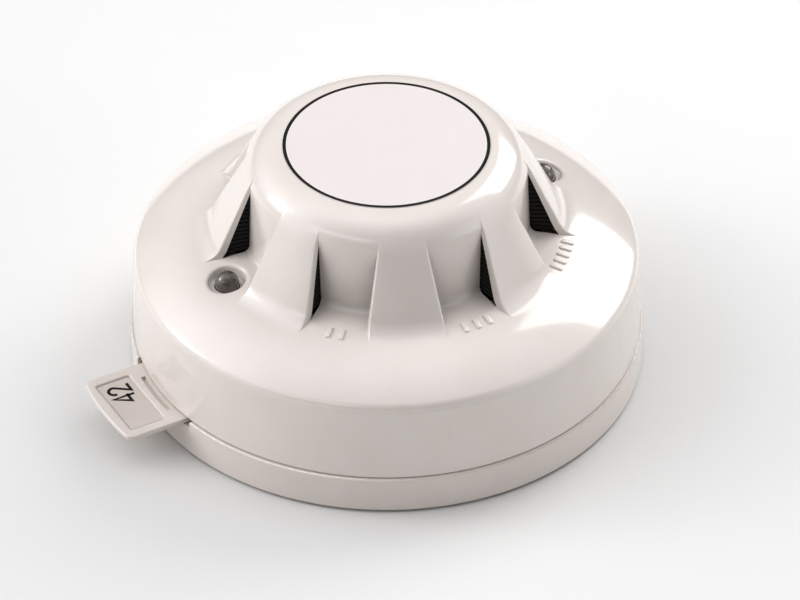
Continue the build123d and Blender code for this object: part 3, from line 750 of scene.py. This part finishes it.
def printed_number(ink):
    """The number 42 on the card's label, read from the detector's outer side."""
    bm = bmesh.new()
    top, foot = TAG_LOW.x + 1.2, TAG_LOW.x + 5.6
    four, two = (1.6, 3.9), (4.5, 6.8)
    stem = four[1] - 0.45
    crossbar = foot - 1.35
    four_line = [(foot, stem), (top, stem), (crossbar, four[0]), (crossbar, four[1])]
    bowl_y, bowl_x = (two[0] + two[1]) / 2, top + 1.15
    radius = (two[1] - two[0]) / 2 - 0.1
    two_line = [
        (bowl_x - radius * sin(radians(a)), bowl_y + radius * cos(radians(a)))
        for a in range(190, -41, -23)
    ]
    two_line += [(foot, two[0] + 0.1), (foot, two[1])]
    for digit in (four_line, two_line):
        flat_stroke(bm, digit, STROKE, TAG_HIGH.z, INK_THICKNESS)
    bmesh.ops.recalc_face_normals(bm, faces=bm.faces)
    return piece_from(bm, "printed_number", "card", ink, sharp=20)


# ---- materials -----------------------------------------------------------------------------------


class Surface:
    """A node material round one Principled shader, varied by noise in object space."""

    def __init__(self, name, colour, roughness, **inputs):
        self.material = bpy.data.materials.new(name)
        self.material.use_nodes = True
        self.nodes = self.material.node_tree.nodes
        self.links = self.material.node_tree.links
        self.shader = self.nodes["Principled BSDF"]
        self.shader.inputs["Base Color"].default_value = (*colour, 1)
        self.shader.inputs["Roughness"].default_value = roughness
        self.colour, self.roughness = colour, roughness
        for key, value in inputs.items():
            self.shader.inputs[key.replace("_", " ")].default_value = value
        self.coordinates = self.nodes.new("ShaderNodeTexCoord").outputs["Object"]

    def noise(self, size, detail=2.0, stretch=(1, 1, 1), seed=0.0):
        """Noise whose features are about size millimetres across."""
        mapping = self.nodes.new("ShaderNodeMapping")
        mapping.inputs["Scale"].default_value = stretch
        mapping.inputs["Location"].default_value = (seed, seed, seed)
        node = self.nodes.new("ShaderNodeTexNoise")
        node.inputs["Scale"].default_value = 1 / (size * MM)
        node.inputs["Detail"].default_value = detail
        self.links.new(self.coordinates, mapping.inputs["Vector"])
        self.links.new(mapping.outputs["Vector"], node.inputs["Vector"])
        return node.outputs["Fac"]

    def spread(self, value, low, high, start=0.3, end=0.7):
        """The value's middle range mapped to low to high."""
        node = self.nodes.new("ShaderNodeMapRange")
        limits = {"From Min": start, "From Max": end, "To Min": low, "To Max": high}
        for key, number in limits.items():
            node.inputs[key].default_value = number
        self.links.new(value, node.inputs["Value"])
        return node.outputs["Result"]

    def tint(self, value, amount):
        """Varies the base colour by a share of itself, a little warmer where it is darker."""
        mix = self.nodes.new("ShaderNodeMix")
        mix.data_type = "RGBA"
        darker = [c * (1 - amount * (0.8 + 0.2 * k)) for k, c in enumerate(self.colour)]
        lighter = [min(1.0, c * (1 + amount * 0.5)) for c in self.colour]
        mix.inputs["A"].default_value = (*darker, 1)
        mix.inputs["B"].default_value = (*lighter, 1)
        self.links.new(self.spread(value, 0, 1), mix.inputs["Factor"])
        self.links.new(mix.outputs["Result"], self.shader.inputs["Base Color"])

    def rough(self, value, change):
        """Varies the roughness by plus or minus an amount."""
        smoothest = 0.02
        low, high = max(smoothest, self.roughness - change), self.roughness + change
        self.links.new(self.spread(value, low, high), self.shader.inputs["Roughness"])

    def bump(self, *heights):
        """Adds relief from (value, depth in millimetres) pairs."""
        normal = None
        for value, depth in heights:
            node = self.nodes.new("ShaderNodeBump")
            node.inputs["Strength"].default_value = 1.0
            node.inputs["Distance"].default_value = depth * MM
            self.links.new(value, node.inputs["Height"])
            if normal is not None:
                self.links.new(normal, node.inputs["Normal"])
            normal = node.outputs["Normal"]
        self.links.new(normal, self.shader.inputs["Normal"])


def moulded(name, colour, roughness, ripple=0.0012, grain=0.0006, tint=0.02, **inputs):
    """Moulded plastic: a slow ripple, a fine grain, and faint changes of shade and gloss."""
    surface = Surface(name, colour, roughness, **inputs)
    surface.tint(surface.noise(size=9.0, detail=3), tint)
    surface.rough(surface.noise(size=3.0, detail=4, seed=3.1), roughness * 0.06)
    wavy, grainy = surface.noise(size=5.0, detail=1, seed=1.7), surface.noise(size=0.25, seed=8.2)
    surface.bump((wavy, ripple), (grainy, grain))
    return surface.material


def metal(name, colour, roughness, stretch=(1, 1, 6)):
    """Plated or drawn metal with fine directional scratches."""
    surface = Surface(name, colour, roughness, Metallic=1.0)
    scratches = surface.noise(size=0.4, detail=5, stretch=stretch)
    surface.tint(surface.noise(size=2.5, detail=3), 0.12)
    surface.rough(scratches, roughness * 0.35)
    surface.bump((scratches, 0.004))
    return surface.material


def board():
    """Green solder mask over faint copper tracks."""
    surface = Surface("board_green", (0.012, 0.10, 0.035), 0.28)
    tracks = surface.noise(size=2.2, detail=0, stretch=(1, 7, 1))
    surface.tint(tracks, 0.45)
    surface.rough(surface.noise(size=1.0, detail=3), 0.08)
    surface.bump((tracks, 0.02), (surface.noise(size=0.3), 0.004))
    return surface.material


def ceramic():
    """Tan ceramic bodies with a speckled, slightly rough face."""
    surface = Surface("ceramic_part", (0.42, 0.33, 0.22), 0.5)
    surface.tint(surface.noise(size=0.5, detail=4), 0.25)
    surface.rough(surface.noise(size=0.3, detail=3), 0.1)
    surface.bump((surface.noise(size=0.15, detail=3), 0.004))
    return surface.material


def make_materials():
    """One finished material for each of the record's slots, and the printed ink."""
    return {
        "cover_white": moulded("cover_white", (0.82, 0.760, 0.718), 0.16,
                               IOR=1.55, Coat_Weight=0.5, Coat_Roughness=0.04),
        "base_white": moulded("base_white", (0.79, 0.730, 0.688), 0.2,
                              IOR=1.55, Coat_Weight=0.35, Coat_Roughness=0.08),
        "card_white": moulded("card_white", (0.78, 0.725, 0.685), 0.25, grain=0.001,
                              Coat_Weight=0.2, Coat_Roughness=0.1),
        "label_paper": moulded("label_paper", (0.69, 0.635, 0.595), 0.55,
                               ripple=0.0, grain=0.002, tint=0.04),
        "label_disc": moulded("label_disc", (0.80, 0.742, 0.728), 0.42,
                              ripple=0.002, grain=0.001, tint=0.012),
        # The inlet blades use this black as painted shade inside the inlets.
        "black_plastic": moulded("black_plastic", (0.020, 0.018, 0.0145), 0.8,
                                 grain=0.004, tint=0.2),
        "chassis_white": moulded("chassis_white", (0.72, 0.69, 0.65), 0.4, grain=0.002),
        "board_green": board(),
        "thermistor_glass": moulded("thermistor_glass", (0.09, 0.02, 0.012), 0.08, Coat_Weight=0.6),
        "tinned_wire": metal("tinned_wire", (0.72, 0.71, 0.69), 0.2),
        "ceramic_part": ceramic(),
        "lamp_lens": moulded("lamp_lens", (0.27, 0.235, 0.215), 0.06,
                             ripple=0.0006, grain=0.0002, tint=0.08, Transmission_Weight=0.45,
                             IOR=1.55, Coat_Weight=0.8, Coat_Roughness=0.02),
        "chip_black": moulded("chip_black", (0.018, 0.018, 0.02), 0.5, grain=0.004, tint=0.2),
        "crystal_can": metal("crystal_can", (0.70, 0.70, 0.69), 0.22, (1, 1, 1)),
        "capacitor_sleeve": moulded("capacitor_sleeve", (0.012, 0.014, 0.03), 0.25),
        "plated_brass": metal("plated_brass", (0.72, 0.62, 0.38), 0.25),
        "zinc_steel": metal("zinc_steel", (0.62, 0.62, 0.60), 0.3),
        "contact_steel": metal("contact_steel", (0.70, 0.69, 0.66), 0.24, (6, 1, 1)),
        "ink": moulded("printed_ink", (0.016, 0.015, 0.016), 0.45,
                       ripple=0.0, grain=0.0008, tint=0.15),
    }


def finish_frame(materials):
    """Gives every CAD node the finished material of its slot."""
    slots = {part["node"]: part["material_slot"] for part in frame["record"]["subparts"]}
    for node, piece in frame["nodes"].items():
        piece.data.materials.clear()
        piece.data.materials.append(materials[slots[node]])


# ---- the studio, in metres -----------------------------------------------------------------------
VIEW_AZIMUTH = -119.1
LIT_POINT = Vector((0, 0, 0.025))
LIGHT_DISTANCE = 0.9
VIEW_EXPOSURE, VIEW_GAMMA = 0.09, 0.8
FLOOR_HALF = 3.0
FLOOR_GAP = 0.0004
CAMERA_LENS = 315
CAMERA_AT = (-0.5190, -0.9378, 0.8617)
CAMERA_TILT, CAMERA_TURN = 51.587, -29.1


def direction(azimuth, elevation):
    """The unit vector towards an azimuth, counted rightwards from the camera, and an elevation."""
    a, e = radians(VIEW_AZIMUTH + azimuth), radians(elevation)
    return Vector((cos(e) * cos(a), cos(e) * sin(a), sin(e)))


def softbox(name, azimuth, elevation, size, power, roll=0):
    """A rectangular light that faces the detector, turned about its own axis by the roll."""
    light = bpy.data.lights.new(name, "AREA")
    light.shape = "RECTANGLE"
    light.size, light.size_y = size
    light.energy = power
    holder = bpy.data.objects.new(name, light)
    towards = direction(azimuth, elevation)
    holder.location = LIT_POINT + towards * LIGHT_DISTANCE
    turn = towards.to_track_quat("Z", "Y") @ Quaternion((0, 0, 1), radians(roll))
    holder.rotation_euler = turn.to_euler()
    bpy.context.scene.collection.objects.link(holder)


def sky(level, glows):
    """Soft surroundings: an even level, and glows of azimuth, elevation, tightness, strength."""
    world = bpy.data.worlds.new("studio")
    bpy.context.scene.world = world
    world.use_nodes = True
    nodes, links = world.node_tree.nodes, world.node_tree.links
    towards = nodes.new("ShaderNodeTexCoord").outputs["Generated"]
    total = None
    for azimuth, elevation, tightness, strength in glows:
        facing = nodes.new("ShaderNodeVectorMath")
        facing.operation = "DOT_PRODUCT"
        facing.inputs[1].default_value = direction(azimuth, elevation)
        links.new(towards, facing.inputs[0])
        glow = facing.outputs["Value"]
        for operation, number in (("MAXIMUM", 0.0), ("POWER", tightness), ("MULTIPLY", strength)):
            glow = calculated(world.node_tree, operation, glow, number)
        total = calculated(world.node_tree, "ADD", glow, level if total is None else total)
    background = nodes["Background"]
    background.inputs["Color"].default_value = (0.97, 0.98, 1.0, 1)
    links.new(total, background.inputs["Strength"])


def calculated(tree, operation, value, other):
    """The output of one math node, fed by a value and a number or a second value."""
    node = tree.nodes.new("ShaderNodeMath")
    node.operation = operation
    tree.links.new(value, node.inputs[0])
    if isinstance(other, bpy.types.NodeSocket):
        tree.links.new(other, node.inputs[1])
    else:
        node.inputs[1].default_value = other
    return node.outputs["Value"]


def studio():
    """A pale floor, soft light and the camera."""
    scene = bpy.context.scene
    scene.view_settings.view_transform = "Standard"
    scene.view_settings.exposure = VIEW_EXPOSURE
    scene.view_settings.gamma = VIEW_GAMMA
    bm = bmesh.new()
    bmesh.ops.create_grid(bm, x_segments=8, y_segments=8, size=FLOOR_HALF)
    mesh = bpy.data.meshes.new("floor")
    bm.to_mesh(mesh)
    bm.free()
    floor = bpy.data.objects.new("floor", mesh)
    floor.location.z = -FLOOR_GAP
    scene.collection.objects.link(floor)
    paper = Surface("floor_paper", (0.79, 0.785, 0.775), 0.8)
    paper.tint(paper.noise(size=60), 0.01)
    mesh.materials.append(paper.material)

    sky(level=0.01, glows=(
        (0, 90, 3, 0.6),
        (180, 85, 12, 0.8),
        (-100, 35, 8, 2.42),
        (-70, 15, 12, 0.85),
        (66, 8, 14, 1.5),
        (105, 35, 8, 1.05),
    ))
    softbox("right_softbox", azimuth=137, elevation=36, size=(0.59, 0.57), power=3.6, roll=50)
    softbox("left_softbox", azimuth=-96, elevation=25, size=(0.24, 0.34), power=1.1)
    softbox("front_strip", azimuth=-36, elevation=33, size=(0.75, 0.16), power=0.5)

    camera = bpy.data.cameras.new("camera")
    camera.lens = CAMERA_LENS
    camera.sensor_width = 36
    camera.clip_end = 10
    holder = bpy.data.objects.new("camera", camera)
    holder.location = CAMERA_AT
    holder.rotation_euler = (radians(CAMERA_TILT), 0, radians(CAMERA_TURN))
    scene.collection.objects.link(holder)
    scene.camera = holder


def build():
    """Makes every piece, finishes the frame and sets up the studio."""
    materials = make_materials()
    finish_frame(materials)
    outer_cover(materials["cover_white"])
    label_disc(materials["label_disc"], materials["ink"])
    for number, side in ((1, -1), (2, 1)):
        lamp(number, side, materials["lamp_lens"])
    raised_bars(materials["cover_white"])
    skirt_rib(materials["cover_white"])
    # Black blades in the inlets, as painted shade for their dark inside.
    inlet_shade_blades(materials["black_plastic"])
    printed_number(materials["ink"])
    studio()


build()
